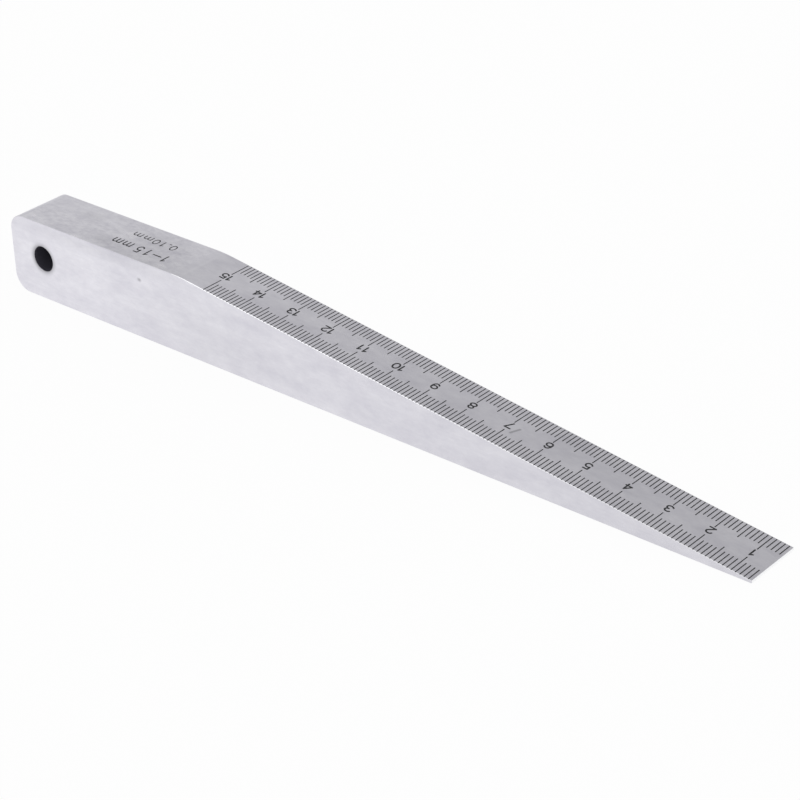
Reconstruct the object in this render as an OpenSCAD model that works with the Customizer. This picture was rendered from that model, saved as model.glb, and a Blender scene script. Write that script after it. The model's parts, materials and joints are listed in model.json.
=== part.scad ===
// Taper gauge: a ground steel wedge that reads the width of a gap on a scale along its slope

/* [Taper] */
// Length along the base for each millimetre of thickness
taper_run = 8; // [6:0.5:12]
// Thickness at the blunt tip
tip_t = 0.52; // [0.4:0.02:0.9]
// Thickness at the last graduation, next to the handle
scale_last = 15; // [12:1:20]

/* [Handle] */
// Height of the handle above the thickness at the last graduation
handle_rise = 0.75; // [0.5:0.05:3]
// Length of the flat handle from the top of the slope to the rear face
handle_l = 44.5; // [30:0.5:80]
// Width across the two side faces
body_w = 12; // [10:0.5:20]
// Radius of the blend between the slope and the handle
blend_r = 30; // [5:1:60]
// Radius of the rear corner at the top
rear_top_r = 3.2; // [1:0.1:5]
// Radius of the rear corner at the base
rear_base_r = 3.5; // [1:0.1:5]

/* [Hanging hole] */
// Diameter of the hole through the handle
hole_d = 5; // [3:0.1:6]
// Distance of the hole's axis from the rear face
hole_back = 8.3; // [6:0.1:14]
// Height of the hole's axis above the base
hole_up = 8.4; // [6:0.1:9]
// Edge break round both mouths of the hole
hole_break = 0.1; // [0.05:0.05:0.6]

/* [Edges] */
// Edge break along both outlines of the wedge
edge_break = 0.08; // [0.05:0.01:0.19]

/* [Graduations] */
// Number of divisions to a millimetre of thickness
divisions = 10; // [2:2:10]
// Length of a division mark, from the side face
mark_short = 3.2; // [1.5:0.1:4]
// Length of a half-millimetre mark, from the side face
mark_mid = 4.2; // [2:0.1:4.6]
// Length of a whole-millimetre mark, from the side face
mark_long = 4.65; // [2.5:0.05:4.9]
// Width of a mark
mark_w = 0.2; // [0.08:0.01:0.3]
// Depth of a mark
mark_depth = 0.05; // [0.02:0.01:0.1]

/* [Hidden] */

// How far a cutter stands out of the metal that it cuts
clear = 0.5;
// Segments of a drawn circle
$fn = 96;

handle_h = scale_last + handle_rise;
slope_deg = atan(1 / taper_run);
slope_l = (handle_h - tip_t) * taper_run;
body_l = handle_l + slope_l;

// Places along the outline, from the corner where the slope would meet the handle
tip_x = slope_l;
rear_x = -handle_l;
hole_x = rear_x + hole_back;
zero_x = handle_h * taper_run;
blend_l = blend_r * tan(slope_deg / 2);
blend_low = [blend_l * cos(slope_deg), handle_h - blend_l * sin(slope_deg)];
blend_high = [-blend_l, handle_h];

// Graduations are counted in divisions from zero thickness, and start clear of the tip
first_mark = floor(tip_t * divisions + 0.5) + 1;
last_mark = scale_last * divisions;
mark_pitch = norm([taper_run, 1]) / divisions;

function mark_l(i) =
    i % divisions == 0 ? mark_long :
    i % (divisions / 2) == 0 ? mark_mid :
    mark_short;

function slope_at(x) = [x, handle_h - x / taper_run];

// What is left outside a corner arc of radius r, in the quadrant away from the arc's centre
module outside_arc(r) {
    difference() {
        square(r + clear);
        circle(r);
    }
}

// Side outline of the wedge, with the base along x
module outline() {
    difference() {
        union() {
            polygon([
                [rear_x, 0], [tip_x, 0], [tip_x, tip_t], blend_low, blend_high, [rear_x, handle_h]
            ]);
            intersection() {
                translate([-blend_l, handle_h - blend_r])
                    circle(blend_r);
                polygon([blend_low, blend_high, [0, handle_h]]);
            }
        }
        translate([rear_x + rear_top_r, handle_h - rear_top_r])
            rotate(90)
                outside_arc(rear_top_r);
        translate([rear_x + rear_base_r, rear_base_r])
            rotate(180)
                outside_arc(rear_base_r);
    }
}

// Section of an edge-break cutter: x runs into the side face, y out of it
module break_section() {
    polygon([[edge_break + clear, clear], [-clear, -edge_break - clear], [-clear, clear]]);
}

// Edge break along a straight edge of the outline, with the metal to the left of a to b
module straight_break(a, b) {
    run = b - a;
    translate([a.x, a.y, body_w / 2])
        rotate([90, 0, 90 + atan2(run.y, run.x)])
            linear_extrude(norm(run))
                break_section();
}

// Edge break round a corner arc of radius r, over the quarter turn that starts at from_deg
module corner_break(r, centre, from_deg) {
    translate([centre.x, centre.y, body_w / 2])
        rotate(from_deg)
            rotate_extrude(angle = 90)
                translate([r, 0])
                    mirror([1, 0])
                        break_section();
}

// Edge break along one whole outline
module outline_break() {
    straight_break([rear_x + rear_base_r, 0], [tip_x + clear, 0]);
    straight_break([tip_x, -clear], [tip_x, tip_t + clear]);
    straight_break(slope_at(tip_x + clear), slope_at(-clear));
    straight_break([clear, handle_h], [rear_x + rear_top_r, handle_h]);
    straight_break([rear_x, handle_h - rear_top_r], [rear_x, rear_base_r]);
    corner_break(rear_top_r, [rear_x + rear_top_r, handle_h - rear_top_r], 90);
    corner_break(rear_base_r, [rear_x + rear_base_r, rear_base_r], 180);
}

// Engraved marks that start from one side face, laid out along the slope from zero thickness
module marks() {
    translate([zero_x, 0, 0])
        rotate(180 - slope_deg)
            for (i = [first_mark : last_mark])
                translate([i * mark_pitch - mark_w / 2, -clear, body_w / 2 - mark_l(i)])
                    cube([mark_w, mark_depth + clear, mark_l(i) + clear]);
}

// Mouth of the hanging hole on one side face
module hole_mouth() {
    translate([hole_x, hole_up, body_w / 2 - hole_break])
        cylinder(h = hole_break + clear, d1 = hole_d, d2 = hole_d + 2 * (hole_break + clear));
}

// The whole gauge, lying on its base with its tip towards +x
module gauge_body() {
    color([0.80, 0.80, 0.83])
        translate([body_l / 2 - tip_x, 0, 0])
            rotate([90, 0, 0])
                difference() {
                    linear_extrude(body_w, center = true)
                        outline();
                    for (side = [0, 1])
                        mirror([0, 0, side]) {
                            outline_break();
                            hole_mouth();
                            marks();
                        }
                    translate([hole_x, hole_up, 0])
                        cylinder(h = body_w + 2 * clear, d = hole_d, center = true);
                }
}

gauge_body();
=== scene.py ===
"""Looks of a taper gauge: a ground steel wedge with a hanging hole and an engraved scale on its slope.

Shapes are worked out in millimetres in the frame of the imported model, and scaled to metres at the end.
"""

import json
import logging
import math
from dataclasses import dataclass
from enum import Enum

import bmesh
import bpy
from mathutils import Matrix, Vector
from mathutils.geometry import delaunay_2d_cdt


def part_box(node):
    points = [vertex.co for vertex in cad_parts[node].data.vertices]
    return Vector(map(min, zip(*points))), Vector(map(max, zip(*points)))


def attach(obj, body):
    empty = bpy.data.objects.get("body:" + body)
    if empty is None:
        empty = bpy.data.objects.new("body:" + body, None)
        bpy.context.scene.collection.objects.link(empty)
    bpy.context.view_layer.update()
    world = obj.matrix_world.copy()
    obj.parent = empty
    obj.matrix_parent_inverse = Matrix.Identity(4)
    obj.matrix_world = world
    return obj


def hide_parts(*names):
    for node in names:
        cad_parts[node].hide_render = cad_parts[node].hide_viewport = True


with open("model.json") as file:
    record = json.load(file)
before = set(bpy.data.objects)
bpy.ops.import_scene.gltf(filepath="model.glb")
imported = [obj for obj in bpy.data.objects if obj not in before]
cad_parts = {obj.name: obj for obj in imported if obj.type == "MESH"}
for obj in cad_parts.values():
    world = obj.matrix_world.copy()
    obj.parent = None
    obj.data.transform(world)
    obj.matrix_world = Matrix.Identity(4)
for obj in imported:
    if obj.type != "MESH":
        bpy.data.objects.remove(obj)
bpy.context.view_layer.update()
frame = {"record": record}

LOG = logging.getLogger("taper_gauge")
MM = 0.001
# How far a cutter stands out of the metal that it cuts, in millimetres
CLEAR = 0.5
# Points of a cut body that lie closer together than this are one point, in millimetres
WELD = 0.0005

Pair = tuple[float, float]
Triple = tuple[float, float, float]
Colour = Triple
Shades = tuple[Pair, ...]
Stroke = list[Vector]
Polygon = list[Vector]
Row = list[bmesh.types.BMVert]
Materials = tuple[bpy.types.Material, ...]
Feed = bpy.types.NodeSocket | float | tuple[float, ...]


class Node(Enum):
    """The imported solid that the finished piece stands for."""

    GAUGE_BODY = "gauge_body"


class Slot(Enum):
    """The material slots of the record."""

    GROUND_STEEL = "ground_steel"


class ViewRay(Enum):
    """The kinds of ray that carry what the camera sees of the studio."""

    CAMERA = "Is Camera Ray"
    GLOSSY = "Is Glossy Ray"
    TRANSMISSION = "Is Transmission Ray"


class WedgeFace(Enum):
    """The kinds of face on the bare wedge, by the number of their finish."""

    GROUND = 0
    EDGE = 1
    TIP = 2
    HANDLED = 3


class Wiring:
    """Puts nodes into one node tree and links them."""

    def __init__(self, tree: bpy.types.NodeTree) -> None:
        """Takes over a tree and empties it."""
        self.tree = tree
        tree.nodes.clear()

    def feed(self, socket: bpy.types.NodeSocket, value: Feed) -> None:
        """Links a socket to another one, or sets its value.

        Args:
            socket: the input to fill
            value: the output to link to it, or the value to set on it
        """
        if isinstance(value, bpy.types.NodeSocket):
            self.tree.links.new(value, socket)
        else:
            socket.default_value = value

    def node(
        self, kind: str, feeds: dict[str | int, Feed] | None = None, **settings: object
    ) -> bpy.types.Node:
        """Adds one node.

        Args:
            kind: the node's class name
            feeds: what goes into each input, by its name or its number
            settings: the node's own properties

        Returns:
            The new node.
        """
        node = self.tree.nodes.new(kind)
        for name, value in settings.items():
            setattr(node, name, value)
        for name, value in (feeds or {}).items():
            self.feed(node.inputs[name], value)
        return node

    def math(self, operation: str, *values: Feed) -> bpy.types.NodeSocket:
        """Adds a math node and returns its output."""
        return self.node("ShaderNodeMath", dict(enumerate(values)), operation=operation).outputs[0]

    def vector_math(self, operation: str, *values: Feed) -> bpy.types.NodeSocket:
        """Adds a vector math node and returns its vector output."""
        return self.node("ShaderNodeVectorMath", dict(enumerate(values)), operation=operation).outputs[0]

    def spread(self, value: Feed, low: float, high: float) -> bpy.types.NodeSocket:
        """Spreads a value from 0 to 1 over another range.

        Args:
            value: the value to spread
            low: what 0 becomes
            high: what 1 becomes

        Returns:
            The output with the new value.
        """
        feeds = {"Value": value, "To Min": low, "To Max": high}
        return self.node("ShaderNodeMapRange", feeds).outputs["Result"]

    def mix(self, factor: Feed, first: Feed, second: Feed) -> bpy.types.NodeSocket:
        """Mixes two colours.

        Args:
            factor: the share of the second colour
            first: the colour at 0
            second: the colour at 1

        Returns:
            The output with the mixed colour.
        """
        node = self.node("ShaderNodeMix", data_type="RGBA")
        for name, value in (("Factor_Float", factor), ("A_Color", first), ("B_Color", second)):
            self.feed(next(s for s in node.inputs if s.identifier == name), value)
        return next(s for s in node.outputs if s.identifier == "Result_Color")

    def group(self, tree: bpy.types.NodeTree, feeds: dict[str, Feed]) -> bpy.types.NodeSocket:
        """Places a node group and returns its first output."""
        return self.node("ShaderNodeGroup", feeds, node_tree=tree).outputs[0]


def new_material(name: str) -> tuple[bpy.types.Material, Wiring]:
    """Makes a material with an empty node tree.

    Args:
        name: the material's name

    Returns:
        The material and the wiring of its tree.
    """
    material = bpy.data.materials.new(name)
    material.use_nodes = True
    return material, Wiring(material.node_tree)


class Effect:
    """A node group with named inputs and one output, built once for all finishes."""

    def __init__(self, name: str, inputs: dict[str, float | Triple], output: str) -> None:
        """Makes the group and its sockets.

        Args:
            name: the group's name
            inputs: the group's inputs, with the numbers or vectors that they start from
            output: the name of the value that the group puts out
        """
        self.tree = bpy.data.node_groups.new(name, "ShaderNodeTree")
        for label, start in inputs.items():
            kind = "NodeSocketVector" if isinstance(start, tuple) else "NodeSocketFloat"
            socket = self.tree.interface.new_socket(label, in_out="INPUT", socket_type=kind)
            socket.default_value = start
        self.tree.interface.new_socket(output, in_out="OUTPUT", socket_type="NodeSocketFloat")
        self.wiring = Wiring(self.tree)
        self.inputs = self.wiring.node("NodeGroupInput").outputs
        self.place = self._place_in_millimetres()

    def _place_in_millimetres(self) -> bpy.types.NodeSocket:
        """Returns the place on the object, in millimetres."""
        coordinates = self.wiring.node("ShaderNodeTexCoord").outputs["Object"]
        return self.wiring.vector_math("MULTIPLY", coordinates, (1 / MM, 1 / MM, 1 / MM))

    def put_out(self, value: bpy.types.NodeSocket) -> bpy.types.NodeTree:
        """Links the group's output and returns the finished group."""
        self.wiring.node("NodeGroupOutput", {0: value})
        return self.tree


class Effects:
    """The surface effects that the finishes share."""

    # How far a face has to look sideways to count as a side face
    side_facing = 0.5
    # How far the lines of a side face lie from those of an upper face in the noise
    face_shift = 20.0
    line_detail = 2.0
    cloud_detail = 6.0
    cloud_roughness = 0.68
    # The values of the noise at which the film starts and is full
    cloud_range = (0.3, 0.7)

    def __init__(self) -> None:
        """Builds each effect once."""
        self.grinding_lines = self._grinding_lines()
        self.cloudy_film = self._cloudy_film()
        self.soft_spot = self._soft_spot()

    def _grinding_lines(self) -> bpy.types.NodeTree:
        """Builds the fine lines that a grinding wheel leaves along the gauge.

        Returns:
            The group, which puts out the lines from 0 to 1.
        """
        effect = Effect("grinding_lines", {"Line Width": 0.1, "Line Length": 10.0}, "Lines")
        wiring = effect.wiring
        x, y, z = wiring.node("ShaderNodeSeparateXYZ", {0: effect.place}).outputs
        normal = wiring.node("ShaderNodeNewGeometry").outputs["Normal"]
        facing = wiring.node("ShaderNodeSeparateXYZ", {0: normal}).outputs["Y"]
        on_side = wiring.math("GREATER_THAN", wiring.math("ABSOLUTE", facing), self.side_facing)
        across = wiring.math("MULTIPLY_ADD", on_side, wiring.math("SUBTRACT", z, y), y)
        grain = wiring.node(
            "ShaderNodeCombineXYZ",
            {
                "X": wiring.math("DIVIDE", x, effect.inputs["Line Length"]),
                "Y": wiring.math("DIVIDE", across, effect.inputs["Line Width"]),
                "Z": wiring.math("MULTIPLY", facing, self.face_shift),
            },
        ).outputs[0]
        feeds = {"Vector": grain, "Scale": 1.0, "Detail": self.line_detail}
        return effect.put_out(wiring.node("ShaderNodeTexNoise", feeds).outputs["Fac"])

    def _cloudy_film(self) -> bpy.types.NodeTree:
        """Builds the cloudy patches of a handled metal face.

        Returns:
            The group, which puts out the film from 0 to 1.
        """
        effect = Effect("cloudy_film", {"Patch Size": (8.0, 8.0, 8.0)}, "Film")
        wiring = effect.wiring
        clouds = {
            "Vector": wiring.vector_math("DIVIDE", effect.place, effect.inputs["Patch Size"]),
            "Scale": 1.0,
            "Detail": self.cloud_detail,
            "Roughness": self.cloud_roughness,
        }
        noise = wiring.node("ShaderNodeTexNoise", clouds).outputs["Fac"]
        start, full = self.cloud_range
        film = wiring.node("ShaderNodeMapRange", {"Value": noise, "From Min": start, "From Max": full})
        return effect.put_out(film.outputs["Result"])

    def _soft_spot(self) -> bpy.types.NodeTree:
        """Builds one soft spot.

        Returns:
            The group, which puts out 1 at the spot's centre and 0 from its radii outwards.
        """
        sizes = {"Centre": (0.0, 0.0, 0.0), "Radii": (1.0, 1.0, 1.0)}
        effect = Effect("soft_spot", sizes, "Spot")
        wiring = effect.wiring
        offset = wiring.vector_math("SUBTRACT", effect.place, effect.inputs["Centre"])
        reach = wiring.vector_math("DIVIDE", offset, effect.inputs["Radii"])
        distance = wiring.node("ShaderNodeVectorMath", {0: reach}, operation="LENGTH").outputs["Value"]
        spot = wiring.node(
            "ShaderNodeMapRange",
            {"Value": distance, "From Min": 0.0, "From Max": 1.0, "To Min": 1.0, "To Max": 0.0},
            interpolation_type="SMOOTHSTEP",
        )
        return effect.put_out(spot.outputs["Result"])


@dataclass(frozen=True)
class Stain:
    """A soft patch on the metal, with its centre and its reach in millimetres: real dirt, painted shade
    or a painted highlight.

    Its strength is the share of its colour at the centre, and above 1 it gives the patch a full core.
    """

    centre: Triple
    radii: Triple
    strength: float
    colour: Colour = (0.30, 0.30, 0.32)


@dataclass(frozen=True)
class GroundSteel:
    """Bare ground steel, with grinding lines, a cloudy film from handling and a few soft patches of
    dirt, painted shade and painted highlight.

    The film's roughness is how much rougher it is than the bare steel, so below 0 it is glossier.
    """

    name: str
    colour: Colour = (0.905, 0.893, 0.943)
    film_colour: Colour = (0.676, 0.662, 0.736)
    line_colour: Colour = (0.62, 0.62, 0.65)
    roughness: float = 0.34
    film_roughness: float = -0.08
    line_width: float = 0.16
    line_length: float = 14.0
    line_contrast: float = 0.25
    line_height: float = 0.0015
    patch_size: Triple = (12.0, 5.0, 4.4)
    fleck_size: Triple = (2.4, 1.3, 1.3)
    fleck_share: float = 0.4
    stains: tuple[Stain, ...] = ()

    def material(self, effects: Effects) -> bpy.types.Material:
        """Builds the finish.

        Args:
            effects: the shared surface effects

        Returns:
            The material.
        """
        material, wiring = new_material(self.name)
        line_sizes = {"Line Width": self.line_width, "Line Length": self.line_length}
        lines = wiring.group(effects.grinding_lines, line_sizes)
        patches = wiring.group(effects.cloudy_film, {"Patch Size": self.patch_size})
        flecks = wiring.group(effects.cloudy_film, {"Patch Size": self.fleck_size})
        more_flecks = wiring.math("SUBTRACT", flecks, patches)
        film = wiring.math("MULTIPLY_ADD", more_flecks, self.fleck_share, patches)
        colour = wiring.mix(film, (*self.colour, 1.0), (*self.film_colour, 1.0))
        line_share = wiring.spread(lines, 0.0, self.line_contrast)
        colour = wiring.mix(line_share, colour, (*self.line_colour, 1.0))
        # mix in each soft patch: dirt, painted shade or a painted highlight
        for patch in self.stains:
            spot = wiring.group(effects.soft_spot, {"Centre": patch.centre, "Radii": patch.radii})
            patch_share = wiring.spread(spot, 0.0, patch.strength)
            colour = wiring.mix(patch_share, colour, (*patch.colour, 1.0))
        spare = self.film_roughness / 2
        roughness = wiring.spread(film, self.roughness - spare, self.roughness + spare)
        bump = wiring.node("ShaderNodeBump", {"Height": lines, "Distance": self.line_height * MM})
        normal = bump.outputs[0]
        feeds = {"Base Color": colour, "Metallic": 1.0, "Roughness": roughness, "Normal": normal}
        shader = wiring.node("ShaderNodeBsdfPrincipled", feeds)
        wiring.node("ShaderNodeOutputMaterial", {"Surface": shader.outputs[0]})
        return material


@dataclass(frozen=True)
class DarkCoat:
    """A matt dark coat that sits below the ground faces, with dust in its low places."""

    name: str
    colour: Colour
    dust_colour: Colour
    roughness: float = 0.6
    roughness_spare: float = 0.1
    patch_size: Triple = (1.5, 1.5, 1.5)
    grain_size: float = 0.05
    grain_height: float = 0.002

    def material(self, effects: Effects) -> bpy.types.Material:
        """Builds the finish.

        Args:
            effects: the shared surface effects

        Returns:
            The material.
        """
        material, wiring = new_material(self.name)
        grain_sizes = {"Line Width": self.grain_size, "Line Length": self.grain_size}
        grain = wiring.group(effects.grinding_lines, grain_sizes)
        film = wiring.group(effects.cloudy_film, {"Patch Size": self.patch_size})
        colour = wiring.mix(film, (*self.colour, 1.0), (*self.dust_colour, 1.0))
        low, high = self.roughness - self.roughness_spare, self.roughness + self.roughness_spare
        roughness = wiring.spread(grain, low, high)
        bump = wiring.node("ShaderNodeBump", {"Height": grain, "Distance": self.grain_height * MM})
        feeds = {"Base Color": colour, "Roughness": roughness, "Normal": bump.outputs[0]}
        shader = wiring.node("ShaderNodeBsdfPrincipled", feeds)
        wiring.node("ShaderNodeOutputMaterial", {"Surface": shader.outputs[0]})
        return material


def on_ellipse(centre: Pair, radii: Pair, angles: list[float]) -> list[Vector]:
    """Returns points on an ellipse.

    Args:
        centre: the ellipse's centre
        radii: its reach along x and along y
        angles: where the points lie on it

    Returns:
        One point for each angle.
    """
    (x, y), (reach_x, reach_y) = centre, radii
    return [Vector((x + reach_x * math.cos(a), y + reach_y * math.sin(a))) for a in angles]


def line(start: Pair, end: Pair) -> Stroke:
    """Returns a straight stroke between two points."""
    return [Vector(start), Vector(end)]


def bow(centre: Pair, radii: Pair, start_deg: float, end_deg: float) -> Stroke:
    """Returns a stroke along part of an ellipse.

    Args:
        centre: the ellipse's centre
        radii: its reach along x and along y
        start_deg: the angle where the stroke starts
        end_deg: the angle where it ends, smaller than the start for a clockwise stroke

    Returns:
        The points along the stroke.
    """
    step_deg, least_steps = 9.0, 3
    steps = max(least_steps, math.ceil(abs(end_deg - start_deg) / step_deg))
    angles = [math.radians(start_deg + (end_deg - start_deg) * i / steps) for i in range(steps + 1)]
    return on_ellipse(centre, radii, angles)


def ring(centre: Pair, radii: Pair) -> list[Stroke]:
    """Returns a whole ellipse as two strokes."""
    return [bow(centre, radii, 0, 180), bow(centre, radii, 180, 360)]


class StrokeLetters:
    """Plain engraver's signs, drawn as centre lines on a cell that is one unit high.

    The middle of the cell is at x = 0.
    """

    reach = 0.27
    x_height = 0.64

    def __init__(self) -> None:
        """Draws the strokes of each sign."""
        reach = self.reach
        hook = bow((-0.01, 0.72), (0.25, 0.28), 165, -30)
        bowl = bow((-0.01, 0.32), (reach, 0.32), 138, -155)
        upper, lower = ((-0.02, 0.755), (0.23, 0.245)), ((-0.02, 0.255), (reach, 0.255))
        slant, bar = line((0.14, 1), (-0.29, 0.29)), line((-0.29, 0.29), (0.28, 0.29))
        six = [*ring((0, 0.3), (reach, 0.3)), bow((0.01, 0.5), (reach + 0.01, 0.5), 40, 200)]
        self.strokes = {
            "0": ring((0, 0.5), (reach, 0.5)),
            "1": [line((0.06, 0), (0.06, 1)), line((0.06, 1), (-0.16, 0.79))],
            "2": [hook, line(tuple(hook[-1]), (-reach, 0)), line((-reach, 0), (reach, 0))],
            "3": [bow(*upper, 155, -90), bow(*lower, 90, -155)],
            "4": [line((0.14, 0), (0.14, 1)), slant, bar],
            "5": [line((0.2, 1), (-0.2, 1)), line((-0.2, 1), tuple(bowl[0])), bowl],
            "6": six,
            "7": [line((-reach, 1), (reach, 1)), line((reach, 1), (-0.1, 0))],
            "8": [*ring((0, 0.765), (0.23, 0.235)), *ring((0, 0.265), (reach, 0.265))],
            "9": [[Vector((-point.x, 1 - point.y)) for point in stroke] for stroke in six],
            "-": [line((-0.43, 0.46), (0.43, 0.46))],
            ".": [line((-0.07, 0.04), (0.07, 0.04))],
            "m": self._em(),
        }

    def _em(self) -> list[Stroke]:
        """Draws the letter m.

        Returns:
            Three stems under two arches.
        """
        width, arch = 0.42, 0.2
        shoulder = self.x_height - arch
        stems = [line((-width, 0), (-width, self.x_height))]
        stems += [line((x, 0), (x, shoulder)) for x in (0, width)]
        arches = [bow((side * width / 2, shoulder), (width / 2, arch), 180, 0) for side in (-1, 1)]
        return stems + arches


def ribbon(stroke: Stroke, width: float) -> Polygon:
    """Thickens a stroke into a closed outline with round ends.

    Args:
        stroke: the points along the stroke's centre line
        width: the stroke's width

    Returns:
        The outline, counter-clockwise.
    """
    cap_steps = 6
    runs = [(b - a).normalized() for a, b in zip(stroke, stroke[1:])]
    along = [(a + b).normalized() for a, b in zip(runs[:1] + runs, runs + runs[-1:])]
    right = [Vector((run.y, -run.x)) * (width / 2) for run in along]
    outline = [point + offset for point, offset in zip(stroke, right)]
    turns = [Matrix.Rotation(math.pi * i / cap_steps, 2) for i in range(1, cap_steps)]
    outline += [stroke[-1] + turn @ right[-1] for turn in turns]
    outline += [point - offset for point, offset in zip(reversed(stroke), reversed(right))]
    outline += [stroke[0] - turn @ right[0] for turn in turns]
    return outline


@dataclass(frozen=True)
class Inscription:
    """One line of plain signs, with its base line and the middle of each sign in millimetres."""

    signs: tuple[tuple[str, float], ...]
    base_line: float
    height: float
    stroke: float
    stretch: float = 1.0

    def polygons(self) -> list[Polygon]:
        """Draws the signs.

        Returns:
            The outlines of all strokes, which may overlap.
        """
        letters = StrokeLetters()
        scale = self.height - self.stroke
        foot = self.base_line + self.stroke / 2
        outlines = []
        for sign, middle in self.signs:
            for stroke in letters.strokes[sign]:
                placed = [
                    Vector((middle + point.x * scale * self.stretch, foot + point.y * scale))
                    for point in stroke
                ]
                outlines.append(ribbon(placed, self.stroke))
        return outlines


def new_object(name: str, made: bmesh.types.BMesh, materials: Materials) -> bpy.types.Object:
    """Puts faces that are under construction into the scene.

    Args:
        name: the name of the object and of its mesh
        made: the faces, which are freed
        materials: their materials, by number

    Returns:
        The object.
    """
    mesh = bpy.data.meshes.new(name)
    made.to_mesh(mesh)
    made.free()
    for material in materials:
        mesh.materials.append(material)
    placed = bpy.data.objects.new(name, mesh)
    bpy.context.scene.collection.objects.link(placed)
    return placed


def bridge(made: bmesh.types.BMesh, near: Row, far: Row) -> list[bmesh.types.BMFace]:
    """Joins two closed rows of points with a band of faces.

    Args:
        made: the faces that are under construction
        near: the first row
        far: the second row, point for point

    Returns:
        The new faces, in the order of the points.
    """
    corners_by_face = zip(near, far, far[1:] + far[:1], near[1:] + near[:1])
    return [made.faces.new(corners) for corners in corners_by_face]


def prism(
    name: str, polygons: list[Polygon], face: Matrix, depth: float, materials: Materials
) -> bpy.types.Object:
    """Builds the cutter of an engraving, as one closed mesh over the union of its outlines.

    Args:
        name: the cutter's name
        polygons: counter-clockwise outlines on the face, which may overlap
        face: the frame of the face, with z out of the metal
        depth: the depth of the engraving
        materials: the cutter's materials, by number

    Returns:
        The cutter.
    """
    inside_only, same_point = 1, 1e-6
    corners = [corner for polygon in polygons for corner in polygon]
    starts = [sum(len(p) for p in polygons[:i]) for i in range(len(polygons))]
    loops = [list(range(start, start + len(p))) for start, p in zip(starts, polygons)]
    union = delaunay_2d_cdt(corners, [], loops, inside_only, same_point)
    points, _, triangles, _, _, sources = union
    filled = [triangle for triangle, source in zip(triangles, sources) if source]
    sides = {(a, b) for t in filled for a, b in zip(t, t[1:] + t[:1])}
    rim = [(a, b) for a, b in sorted(sides) if (b, a) not in sides]
    count = len(points)
    vertices = [(p.x, p.y, -depth) for p in points] + [(p.x, p.y, CLEAR) for p in points]
    faces = [list(reversed(triangle)) for triangle in filled]
    faces += [[corner + count for corner in triangle] for triangle in filled]
    faces += [[a, b, b + count, a + count] for a, b in rim]
    mesh = bpy.data.meshes.new(name)
    mesh.from_pydata(vertices, [], faces)
    mesh.transform(face)
    made = bmesh.new()
    made.from_mesh(mesh)
    bpy.data.meshes.remove(mesh)
    bmesh.ops.delete(made, geom=[v for v in made.verts if not v.link_faces], context="VERTS")
    return new_object(name, made, materials)


def keep_modifiers(body: bpy.types.Object) -> None:
    """Makes a body's modifiers part of its mesh.

    Args:
        body: the object with the modifiers
    """
    graph = bpy.context.evaluated_depsgraph_get()
    mesh = bpy.data.meshes.new_from_object(body.evaluated_get(graph), depsgraph=graph)
    body.modifiers.clear()
    body.data = mesh


def carve(body: bpy.types.Object, cutter: bpy.types.Object) -> None:
    """Cuts a cutter out of a body and removes the cutter, whose materials stay on the cut faces.

    Args:
        body: the object to cut
        cutter: a closed mesh, with its materials
    """
    cut = body.modifiers.new("cut", "BOOLEAN")
    cut.operation = "DIFFERENCE"
    cut.solver = "EXACT"
    cut.material_mode = "TRANSFER"
    cut.object = cutter
    keep_modifiers(body)
    bpy.data.objects.remove(cutter)


def weld(body: bpy.types.Object) -> None:
    """Joins points of a body that lie together and drops the faces that have no area.

    Args:
        body: the object to clean, in millimetres
    """
    made = bmesh.new()
    made.from_mesh(body.data)
    bmesh.ops.remove_doubles(made, verts=made.verts, dist=WELD)
    bmesh.ops.dissolve_degenerate(made, edges=made.edges, dist=WELD)
    made.to_mesh(body.data)
    made.free()


@dataclass(frozen=True)
class Finishes:
    """The materials of the gauge."""

    ground: bpy.types.Material
    handled: bpy.types.Material
    edge: bpy.types.Material
    tip: bpy.types.Material
    filled: bpy.types.Material
    bore: bpy.types.Material


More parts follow.
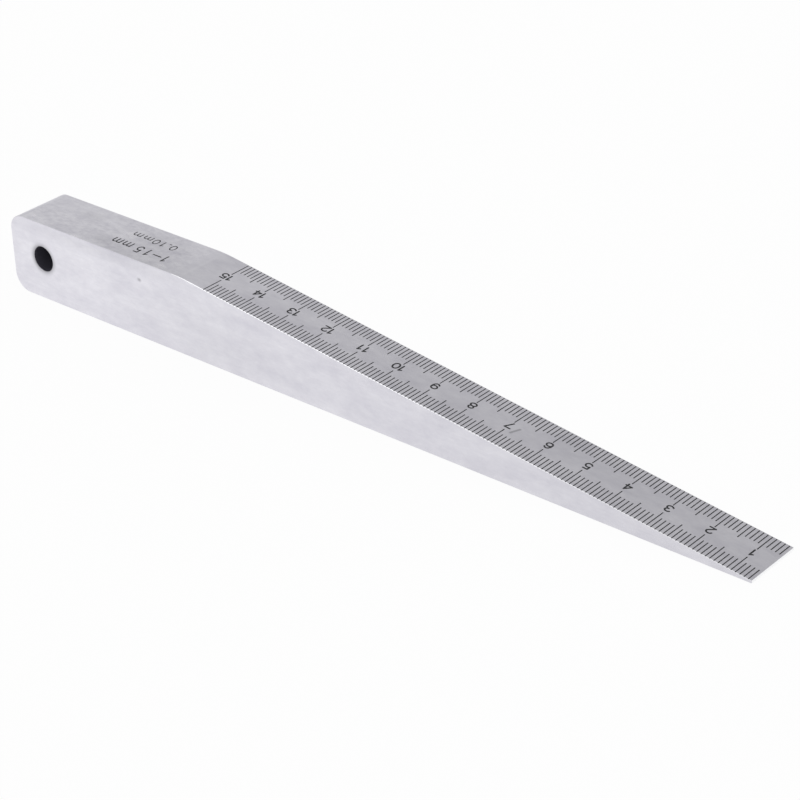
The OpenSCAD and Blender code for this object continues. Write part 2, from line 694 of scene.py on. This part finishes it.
@dataclass(frozen=True)
class Wedge:
    """The solid wedge with its flat handle and its edge breaks."""

    low: Vector
    high: Vector
    tip_thickness: float = 0.52
    handle_length: float = 44.5
    blend_radius: float = 30.0
    rear_top_radius: float = 3.2
    rear_base_radius: float = 3.5
    edge_break: float = 0.08
    arc_error: float = 0.002

    @property
    def height(self) -> float:
        """Height of the handle."""
        return self.high.z

    @property
    def half_width(self) -> float:
        """Distance of a side face from the middle."""
        return self.high.y

    @property
    def corner_x(self) -> float:
        """Place where the slope would meet the top of the handle."""
        return self.low.x + self.handle_length

    @property
    def taper_run(self) -> float:
        """Length along the base for each millimetre of thickness."""
        return (self.high.x - self.corner_x) / (self.height - self.tip_thickness)

    @property
    def tilt(self) -> float:
        """Angle of the slope."""
        return math.atan(1 / self.taper_run)

    @property
    def blend_length(self) -> float:
        """Length of the blend along the handle."""
        return self.blend_radius * math.tan(self.tilt / 2)

    @property
    def slope_frame(self) -> Matrix:
        """Frame of the slope: x up from zero thickness, y towards the near side, z out of the metal."""
        zero = Vector((self.corner_x + self.height * self.taper_run, 0, 0))
        return self._face_frame(zero, self.tilt)

    @property
    def handle_frame(self) -> Matrix:
        """Frame of the handle's top: x towards the rear, y towards the near side, z out of the metal."""
        return self._face_frame(Vector((self.corner_x, 0, self.height)), 0.0)

    @staticmethod
    def _face_frame(origin: Vector, tilt: float) -> Matrix:
        """Returns the frame of a face that looks up and is tilted towards the tip."""
        turn = Matrix.Rotation(tilt, 4, "Y") @ Matrix.Rotation(math.pi, 4, "Z")
        return Matrix.Translation(origin) @ turn

    def _arc(self, centre: Pair, radius: float, start: float, end: float) -> list[Vector]:
        """Returns points along an arc of the outline.

        Args:
            centre: the arc's centre
            radius: the arc's radius
            start: the angle where it starts
            end: the larger angle where it ends

        Returns:
            The points, close enough together to stay within the arc error.
        """
        steps = math.ceil((end - start) / (2 * math.acos(1 - self.arc_error / radius)))
        angles = [start + (end - start) * i / steps for i in range(steps + 1)]
        return on_ellipse(centre, (radius, radius), angles)

    def outline(self) -> list[Vector]:
        """Draws the side outline.

        Returns:
            Its points in x and z, counter-clockwise from the foot of the tip.
        """
        quarter = math.pi / 2
        blend_centre = (self.corner_x - self.blend_length, self.height - self.blend_radius)
        top_centre = (self.low.x + self.rear_top_radius, self.height - self.rear_top_radius)
        base_centre = (self.low.x + self.rear_base_radius, self.rear_base_radius)
        return [
            Vector((self.high.x, 0)),
            Vector((self.high.x, self.tip_thickness)),
            *self._arc(blend_centre, self.blend_radius, quarter - self.tilt, quarter),
            *self._arc(top_centre, self.rear_top_radius, quarter, 2 * quarter),
            *self._arc(base_centre, self.rear_base_radius, 2 * quarter, 3 * quarter),
        ]

    @staticmethod
    def _inset(outline: list[Vector], distance: float) -> list[Vector]:
        """Moves a counter-clockwise outline inwards.

        Args:
            outline: the closed outline
            distance: how far each side moves

        Returns:
            The new outline, point for point.
        """
        runs = [(b - a).normalized() for a, b in zip(outline, outline[1:] + outline[:1])]
        inward = [Vector((-run.y, run.x)) for run in runs]
        both = [a + b for a, b in zip(inward[-1:] + inward[:-1], inward)]
        return [point + way * (2 * distance / way.length_squared) for point, way in zip(outline, both)]

    def build(self, finishes: Finishes) -> bpy.types.Object:
        """Builds the bare wedge, in millimetres.

        Args:
            finishes: the gauge's materials

        Returns:
            The wedge, without its hole and its engraving.
        """
        outline = self.outline()
        inner = self._inset(outline, self.edge_break)
        side_y, edge_y = self.half_width, self.half_width - self.edge_break
        rows = [(inner, -side_y), (outline, -edge_y), (outline, edge_y), (inner, side_y)]
        made = bmesh.new()
        rings = [[made.verts.new((p.x, y, p.y)) for p in points] for points, y in rows]
        made.faces.new(rings[0])
        made.faces.new(reversed(rings[-1]))
        near_edge, across, far_edge = (bridge(made, near, far) for near, far in zip(rings, rings[1:]))
        made.normal_update()
        blend_x = self.corner_x - self.blend_length
        # the upper edge breaks from the blend to the tip take the edge steel, a brighter copy that
        # carries a painted highlight
        for face in near_edge + far_edge:
            if face.normal.z > 0 and face.calc_center_median().x > blend_x:
                face.material_index = WedgeFace.EDGE.value
        tip, handle_top = across[0], max(across, key=lambda face: face.normal.z)
        # the tip end takes near-white steel, a painted reflection of the floor
        tip.material_index = WedgeFace.TIP.value
        handle_top.material_index = WedgeFace.HANDLED.value
        finish_by_face = {
            WedgeFace.GROUND: finishes.ground,
            WedgeFace.EDGE: finishes.edge,
            WedgeFace.TIP: finishes.tip,
            WedgeFace.HANDLED: finishes.handled,
        }
        return new_object("wedge", made, tuple(finish_by_face[face] for face in WedgeFace))


@dataclass(frozen=True)
class HangingHole:
    """The hole through the handle: an edge break at both mouths, and painted shade round the near mouth.
    """

    axis: Vector
    radius: float
    half_width: float
    mouth_break: float
    segments: int = 128
    rim_reach: Triple = (3.7, 1.0, 3.7)
    rim_strength: float = 3.3

    def dark_rim(self) -> Stain:
        """Returns the painted shade round the near mouth."""
        near_mouth = (self.axis.x, -self.half_width, self.axis.z)
        return Stain(near_mouth, self.rim_reach, self.rim_strength)

    def cutter(self, finishes: Finishes) -> bpy.types.Object:
        """Builds what the hole takes out of the wedge.

        Args:
            finishes: the gauge's materials

        Returns:
            The cutter.
        """
        outer, inner = self.half_width + CLEAR, self.half_width - self.mouth_break
        mouth = self.radius + self.mouth_break + CLEAR
        profile = [(mouth, -outer), (self.radius, -inner), (self.radius, inner), (mouth, outer)]
        angles = [2 * math.pi * i / self.segments for i in range(self.segments)]
        middle = (self.axis.x, self.axis.z)
        made = bmesh.new()
        rings = [
            [made.verts.new((p.x, y, p.y)) for p in on_ellipse(middle, (reach, reach), angles)]
            for reach, y in profile
        ]
        made.faces.new(rings[0])
        made.faces.new(reversed(rings[-1]))
        mouth_finish, bore_finish = range(2)
        bands = (mouth_finish, bore_finish, mouth_finish)
        for near, far, finish in zip(rings, rings[1:], bands):
            for face in bridge(made, near, far):
                face.material_index = finish
        return new_object("hole_cutter", made, (finishes.ground, finishes.bore))


@dataclass(frozen=True)
class Graduations:
    """The marks and numerals on the slope, counted in divisions from zero thickness.

    The filling of a mark is worn off its end, over the width of the edge break.
    """

    half_width: float
    taper_run: float
    worn_end: float
    divisions: int = 10
    first: int = 6
    last: int = 150
    short: float = 3.2
    middle: float = 4.2
    long: float = 4.65
    width: float = 0.2
    depth: float = 0.05
    numeral_height: float = 1.96
    numeral_base: float = -1.15
    numeral_stroke: float = 0.32
    numeral_stretch: float = 1.28
    numeral_pitch: float = 1.2

    @property
    def millimetre(self) -> float:
        """Length along the slope for each millimetre of thickness."""
        return math.hypot(self.taper_run, 1)

    def _mark_length(self, number: int) -> float:
        """Returns the length of one mark.

        Args:
            number: the mark's place, in divisions

        Returns:
            Its length from the side face.
        """
        if number % self.divisions == 0:
            return self.long
        if number % (self.divisions // 2) == 0:
            return self.middle
        return self.short

    def marks(self) -> list[Polygon]:
        """Draws the marks on both sides of the slope.

        Returns:
            Their outlines, with their worn ends apart.
        """
        rim, outer = self.half_width - self.worn_end, self.half_width + CLEAR
        outlines = []
        for number in range(self.first, self.last + 1):
            place = number * self.millimetre / self.divisions
            start, end = place - self.width / 2, place + self.width / 2
            inner = self.half_width - self._mark_length(number)
            for low, high in ((inner, rim), (rim, outer), (-rim, -inner), (-outer, -rim)):
                corners = ((start, low), (end, low), (end, high), (start, high))
                outlines.append([Vector(corner) for corner in corners])
        return outlines

    def numerals(self) -> list[Polygon]:
        """Draws the numbers at the whole millimetres.

        Returns:
            The outlines of their strokes.
        """
        outlines = []
        for number in range(1, self.last // self.divisions + 1):
            text = str(number)
            start = number * self.millimetre - self.numeral_pitch * (len(text) - 1) / 2
            signs = tuple((sign, start + self.numeral_pitch * i) for i, sign in enumerate(text))
            outlines += Inscription(
                signs, self.numeral_base, self.numeral_height, self.numeral_stroke, self.numeral_stretch
            ).polygons()
        return outlines

    def cutter(self, face: Matrix, finishes: Finishes) -> bpy.types.Object:
        """Builds what the scale takes out of the wedge.

        Args:
            face: the frame of the slope
            finishes: the gauge's materials

        Returns:
            The cutter.
        """
        polygons = self.marks() + self.numerals()
        made = prism("scale_cutter", polygons, face, self.depth, (finishes.filled, finishes.edge))
        # the mark ends over the edge break take the edge steel with its painted highlight
        for side in made.data.polygons:
            side.material_index = int(abs(side.center.y) > self.half_width - self.worn_end)
        return made


@dataclass(frozen=True)
class HandleMarks:
    """The range and the division of the scale, engraved on top of the handle."""

    depth: float = 0.04
    scale_range: Inscription = Inscription(
        signs=(("1", 6.9), ("-", 9.0), ("1", 11.3), ("5", 13.5), ("m", 16.75), ("m", 19.4)),
        base_line=1.2,
        height=2.45,
        stroke=0.29,
    )
    division: Inscription = Inscription(
        signs=(("0", 8.8), (".", 10.15), ("1", 11.4), ("0", 13.15), ("m", 15.4), ("m", 18.05)),
        base_line=-2.6,
        height=1.88,
        stroke=0.23,
        stretch=1.25,
    )

    def cutter(self, face: Matrix, finishes: Finishes) -> bpy.types.Object:
        """Builds what the marks take out of the handle.

        Args:
            face: the frame of the top of the handle
            finishes: the gauge's materials

        Returns:
            The cutter.
        """
        polygons = self.scale_range.polygons() + self.division.polygons()
        return prism("handle_cutter", polygons, face, self.depth, (finishes.filled,))


@dataclass(frozen=True)
class Dent:
    """A small pit in the near side face, cut by a flat ball and darkened with painted shade."""

    place: Triple = (-49.0, -6.04, 11.95)
    radii: Triple = (0.42, 0.08, 0.28)
    subdivisions: int = 4
    shade_reach: Triple = (0.75, 0.6, 0.55)
    shade_strength: float = 0.7

    def shade(self) -> Stain:
        """Returns the painted shade in and round the dent."""
        return Stain(self.place, self.shade_reach, self.shade_strength)

    def cutter(self, finishes: Finishes) -> bpy.types.Object:
        """Builds what the dent takes out of the wedge.

        Args:
            finishes: the gauge's materials

        Returns:
            The cutter.
        """
        made = bmesh.new()
        bmesh.ops.create_icosphere(made, subdivisions=self.subdivisions, radius=1.0)
        ball = new_object("dent_cutter", made, (finishes.ground,))
        ball.data.transform(Matrix.Translation(self.place) @ Matrix.Diagonal((*self.radii, 1.0)))
        return ball


@dataclass(frozen=True)
class Scuff:
    """A fine slanted rub on the slope, as a row of soft spots between two places on the face."""

    start: Triple = (55.13, 1.44, 0.0)
    end: Triple = (54.52, -0.38, 0.0)
    spots: int = 6
    reach: float = 0.4
    strength: float = 0.75

    def stains(self, face: Matrix) -> list[Stain]:
        """Returns the spots of the rub.

        Args:
            face: the frame of the slope

        Returns:
            One stain for each spot.
        """
        start, end = face @ Vector(self.start), face @ Vector(self.end)
        places = [start.lerp(end, i / (self.spots - 1)) for i in range(self.spots)]
        return [Stain(tuple(place), (self.reach,) * 3, self.strength) for place in places]


class TaperGauge:
    """The whole gauge, one piece of steel."""

    name = "engraved_gauge"
    smooth_angle_deg = 30.0
    flat_face_weight = 100
    # painted shade: the ground faces and the edge breaks darken towards the tip
    dull_tip_reach = (160.0, 60.0, 60.0)
    dull_tip_ground = 0.22
    dull_tip_edge = 0.3
    # painted highlight along the crest where the handle turns into the slope
    turn_line_reach = (0.6, 12.0, 1.0)
    turn_line_strength = 0.2
    turn_line_colour = (0.9, 0.9, 0.94)
    top_smudges = (
        Stain((-69.17, 2.5, 15.75), (4.0, 2.0, 0.4), 0.16),
        Stain((-60.67, -3.5, 15.75), (3.5, 2.2, 0.4), 0.14),
        Stain((-48.67, -6.0, 15.75), (24.0, 12.0, 0.4), 0.2),
        Stain((-51.67, 1.7, 15.75), (11.0, 4.5, 0.4), 0.12),
        Stain((-74.0, 5.5, 15.75), (16.0, 7.0, 0.4), 0.3, (0.93, 0.92, 0.97)),
    )
    # darker stretches of the near side face: along its top on the handle, and towards its foot where the
    # handle meets the slope
    side_smudges = (
        Stain((-58.0, -6.0, 14.6), (34.0, 0.4, 2.0), 0.12),
        Stain((-33.0, -6.0, 3.0), (30.0, 0.4, 14.0), 0.1),
    )

    def __init__(self) -> None:
        """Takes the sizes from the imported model."""
        low, high = (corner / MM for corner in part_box(Node.GAUGE_BODY.value))
        bore = next(mount for mount in frame["record"]["mounts"] if mount["kind"] == "bore")
        mouth_break = high.y - bore["dims"]["length_mm"] / 2
        self.wedge = Wedge(low, high)
        self.hole = HangingHole(Vector(bore["pos_m"]) / MM, bore["dims"]["r_mm"], high.y, mouth_break)
        self.graduations = Graduations(high.y, self.wedge.taper_run, self.wedge.edge_break)
        self.handle_marks = HandleMarks()
        self.dent = Dent()
        self.scuff = Scuff()

    def _dull_tip(self, strength: float) -> Stain:
        """Returns the painted shade that darkens the gauge towards its tip."""
        return Stain((self.wedge.high.x, 0.0, 0.0), self.dull_tip_reach, strength)

    def _turn_line(self) -> Stain:
        """Returns the painted highlight along the line where the handle turns into the slope."""
        place = tuple(self.wedge.handle_frame.translation)
        return Stain(place, self.turn_line_reach, self.turn_line_strength, self.turn_line_colour)

    def _stains(self) -> tuple[Stain, ...]:
        """Gathers the dirt and the painted light of the ground faces.

        Returns:
            The painted shade towards the tip, round the hole and in the dent, the scuff, the smudges,
            the darker stretches of the side and the painted highlight at the turn.
        """
        return (
            self._dull_tip(self.dull_tip_ground),
            self.hole.dark_rim(),
            self.dent.shade(),
            *self.scuff.stains(self.wedge.slope_frame),
            *self.top_smudges,
            *self.side_smudges,
            self._turn_line(),
        )

    def _finishes(self) -> Finishes:
        """Builds the materials of the gauge.

        Returns:
            The materials, in the order of their fields.
        """
        stains = self._stains()
        # painted highlight colours for the edge breaks and the tip end
        painted_highlight, painted_highlight_film = (0.95, 0.95, 0.97), (0.9, 0.9, 0.93)
        ground = GroundSteel("ground_steel", stains=stains)
        handled = GroundSteel(
            "handled_steel",
            colour=(0.965, 0.953, 1.0),
            film_colour=(0.616, 0.602, 0.679),
            film_roughness=0.24,
            patch_size=(7.0, 3.5, 3.5),
            fleck_size=(1.5, 0.9, 0.9),
            fleck_share=0.5,
            stains=stains,
        )
        # edge steel: a brighter, glossier copy of the ground steel on the slope's upper edge breaks, as
        # a painted highlight along that edge
        edge = GroundSteel(
            "edge_steel_painted_highlight",
            colour=painted_highlight,
            film_colour=painted_highlight_film,
            line_colour=painted_highlight_film,
            roughness=0.28,
            stains=(self._dull_tip(self.dull_tip_edge),),
        )
        # tip end: near-white steel, a painted reflection of the white floor that the end face mirrors
        tip = GroundSteel("tip_steel_painted_reflection", (0.99, 0.99, 0.99), painted_highlight, painted_highlight)
        filled = DarkCoat("dark_filling", (0.012, 0.012, 0.014), (0.03, 0.03, 0.034))
        # bore wall: a near-black matt coat that keeps the inside of the hole dark
        bore = DarkCoat("dark_bore", (0.039, 0.037, 0.052), (0.056, 0.054, 0.073))
        effects = Effects()
        coats = (ground, handled, edge, tip, filled, bore)
        return Finishes(*(coat.material(effects) for coat in coats))

    def _smooth(self, body: bpy.types.Object) -> None:
        """Shades round stretches smooth and keeps flat faces flat.

        Args:
            body: the finished gauge
        """
        body.data.shade_smooth()
        body.data.set_sharp_from_angle(angle=math.radians(self.smooth_angle_deg))
        flat = body.modifiers.new("flat_faces", "WEIGHTED_NORMAL")
        flat.keep_sharp = True
        flat.weight = self.flat_face_weight
        keep_modifiers(body)

    def build(self) -> bpy.types.Object:
        """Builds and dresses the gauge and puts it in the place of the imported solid.

        Returns:
            The finished piece.
        """
        finishes = self._finishes()
        body = self.wedge.build(finishes)
        carve(body, self.hole.cutter(finishes))
        carve(body, self.graduations.cutter(self.wedge.slope_frame, finishes))
        carve(body, self.handle_marks.cutter(self.wedge.handle_frame, finishes))
        carve(body, self.dent.cutter(finishes))
        weld(body)
        body.data.transform(Matrix.Scale(MM, 4))
        self._smooth(body)
        body.name = self.name
        body.data.name = self.name
        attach(body, "root")
        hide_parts(Node.GAUGE_BODY.value)
        return body


@dataclass(frozen=True)
class Softbox:
    """A soft lamp that looks at the gauge.

    Its place and size are in metres, and its brightness is that of its surface.
    """

    name: str
    place: Triple
    width: float
    depth: float
    brightness: float

    def build(self) -> None:
        """Puts the lamp into the scene."""
        lamp = bpy.data.lights.new(self.name, "AREA")
        lamp.shape = "RECTANGLE"
        lamp.size = self.width
        lamp.size_y = self.depth
        lamp.energy = self.brightness * math.pi * self.width * self.depth
        made = bpy.data.objects.new(self.name, lamp)
        made.location = self.place
        made.rotation_euler = Vector(self.place).to_track_quat("Z", "Y").to_euler()
        bpy.context.scene.collection.objects.link(made)


@dataclass(frozen=True)
class Viewpoint:
    """The camera: where it stands and looks, in metres, how far it leans and how long its lens is."""

    eye: Triple = (0.25819, -0.28788, 0.21955)
    target: Triple = (0.01024, -0.00318, 0.00608)
    lean_deg: float = -1.78
    lens: float = 115.035

    def build(self) -> None:
        """Puts the camera into the scene and makes it the active one."""
        camera = bpy.data.cameras.new("camera")
        camera.lens = self.lens
        made = bpy.data.objects.new("camera", camera)
        facing = (Vector(self.eye) - Vector(self.target)).to_track_quat("Z", "Y").to_matrix().to_4x4()
        lean = Matrix.Rotation(math.radians(self.lean_deg), 4, "Z")
        made.matrix_world = Matrix.Translation(self.eye) @ facing @ lean
        bpy.context.scene.collection.objects.link(made)
        bpy.context.scene.camera = made


@dataclass(frozen=True)
class Studio:
    """A pale floor under a soft white sky with a dim rim, a small lamp in front and a grey card behind.

    The card is what the upper faces mirror to the camera. The shades of sky and card are listed by
    height, as the sine of the elevation. The card's edge is the range of the cosine to its middle over
    which it fades into the sky.
    """

    floor_size: float = 1.4
    floor_gap: float = 0.00002
    floor_albedo: float = 0.93
    floor_lift: float = 0.94
    sky_shades: Shades = ((0.0, 1.0), (0.16, 0.72), (0.36, 0.66), (0.6, 1.0), (0.85, 1.0), (1.0, 0.85))
    card_shades: Shades = (
        (0.0, 0.64), (0.41, 0.77), (0.45, 0.71), (0.58, 0.565), (0.66, 0.505), (0.75, 0.535), (1.0, 0.8)
    )
    card_middle: Triple = (-0.62, 0.78, 0.0)
    card_edge: Pair = (0.25, 0.55)
    key: Softbox = Softbox("key_lamp", (-0.361, -0.447, 0.585), width=0.23, depth=0.23, brightness=0.8)

    @staticmethod
    def _is_viewed(wiring: Wiring, rays: tuple[ViewRay, ...]) -> bpy.types.NodeSocket:
        """Returns 1 for rays of the given kinds and 0 for others.

        Args:
            wiring: the tree that asks
            rays: the kinds of ray

        Returns:
            The output with the answer.
        """
        path = wiring.node("ShaderNodeLightPath")
        answer = path.outputs[rays[0].value]
        for ray in rays[1:]:
            answer = wiring.math("MAXIMUM", answer, path.outputs[ray.value])
        return answer

    def _floor(self) -> None:
        """Lays the floor: white to the view, and dimmed where the gauge shades it."""
        made = bmesh.new()
        bmesh.ops.create_grid(made, x_segments=1, y_segments=1, size=self.floor_size / 2)
        material, wiring = new_material("floor_paper")
        paper = wiring.node("ShaderNodeBsdfDiffuse", {"Color": (self.floor_albedo,) * 3 + (1.0,)})
        glow = wiring.node("ShaderNodeEmission", {"Strength": 1.0})
        lift = wiring.math("MULTIPLY", self._is_viewed(wiring, tuple(ViewRay)), self.floor_lift)
        mixed = wiring.node("ShaderNodeMixShader", {0: lift, 1: paper.outputs[0], 2: glow.outputs[0]})
        wiring.node("ShaderNodeOutputMaterial", {"Surface": mixed.outputs[0]})
        floor = new_object("floor", made, (material,))
        floor.location.z = -self.floor_gap

    @staticmethod
    def _shade(wiring: Wiring, height: bpy.types.NodeSocket, shades: Shades) -> bpy.types.NodeSocket:
        """Looks up a shade of grey by height.

        Args:
            wiring: the tree that asks
            height: the sine of the elevation
            shades: the shades by height

        Returns:
            The output with the grey.
        """
        ramp = wiring.node("ShaderNodeValToRGB", {0: height})
        stops = ramp.color_ramp.elements
        while len(stops) < len(shades):
            stops.new(1.0)
        for stop, (place, shade) in zip(stops, shades):
            stop.position = place
            stop.color = (shade, shade, shade, 1.0)
        return ramp.outputs[0]

    def _sky(self) -> None:
        """Builds the sky and the card in it, which the camera itself sees as white."""
        world = bpy.data.worlds.new("studio_sky")
        world.use_nodes = True
        wiring = Wiring(world.node_tree)
        direction = wiring.node("ShaderNodeTexCoord").outputs["Generated"]
        height = wiring.node("ShaderNodeSeparateXYZ", {0: direction}).outputs["Z"]
        ways = {0: direction, 1: self.card_middle}
        nearness = wiring.node("ShaderNodeVectorMath", ways, operation="DOT_PRODUCT").outputs["Value"]
        start, end = self.card_edge
        fade = {"Value": nearness, "From Min": start, "From Max": end}
        on_card = wiring.node("ShaderNodeMapRange", fade, interpolation_type="SMOOTHSTEP")
        sky = self._shade(wiring, height, self.sky_shades)
        card = self._shade(wiring, height, self.card_shades)
        mirrored = wiring.mix(on_card.outputs["Result"], sky, card)
        viewed = self._is_viewed(wiring, (ViewRay.CAMERA, ViewRay.TRANSMISSION))
        colour = wiring.mix(viewed, mirrored, (1.0, 1.0, 1.0, 1.0))
        background = wiring.node("ShaderNodeBackground", {"Color": colour})
        wiring.node("ShaderNodeOutputWorld", {"Surface": background.outputs[0]})
        bpy.context.scene.world = world

    def build(self) -> None:
        """Builds the floor, the sky and the lamp."""
        self._floor()
        self._sky()
        self.key.build()
        bpy.context.scene.view_settings.view_transform = "Standard"


def main() -> None:
    """Builds the gauge and the studio, and reports each piece."""
    logging.basicConfig(level=logging.INFO, format="%(name)s: %(message)s")
    Viewpoint().build()
    Studio().build()
    piece = TaperGauge().build()
    faces, finishes = len(piece.data.polygons), len(piece.data.materials)
    LOG.info("%s: %d faces, %d materials", piece.name, faces, finishes)


if __name__ == "__main__":
    main()
